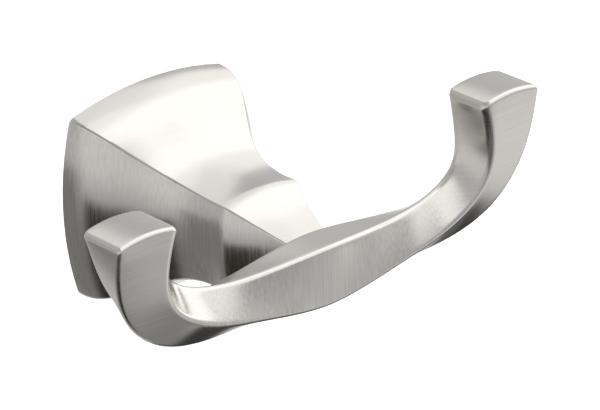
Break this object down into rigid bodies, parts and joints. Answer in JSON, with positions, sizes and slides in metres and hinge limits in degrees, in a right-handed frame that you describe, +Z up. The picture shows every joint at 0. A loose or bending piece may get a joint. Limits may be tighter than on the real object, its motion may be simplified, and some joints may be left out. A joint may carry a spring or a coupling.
{
  "type": "robe hook",
  "caption": "Wall robe hook: a square bell-shaped post carries a cross bar that twists and flares into an upright prong at each end.",
  "frame": {"origin": "the middle of the wall face, on the post's axis, halfway between the bracket's two screw holes", "axes": "the wall is the plane Y = 0 and the hook stands out from it towards -Y; +X runs along the bar to the right as seen from the room; +Z is up"},
  "size_m": [0.1386, 0.0763, 0.0614],
  "materials": {
    "satin_nickel": "brushed satin nickel plating on zinc",
    "bracket_steel": "plain zinc plated sheet steel",
    "screw_steel": "plain steel"
  },
  "bodies": {
    "root": {"hook_body": "satin_nickel", "wall_bracket": "bracket_steel", "set_screw": "screw_steel"}
  },
  "joints": []
}
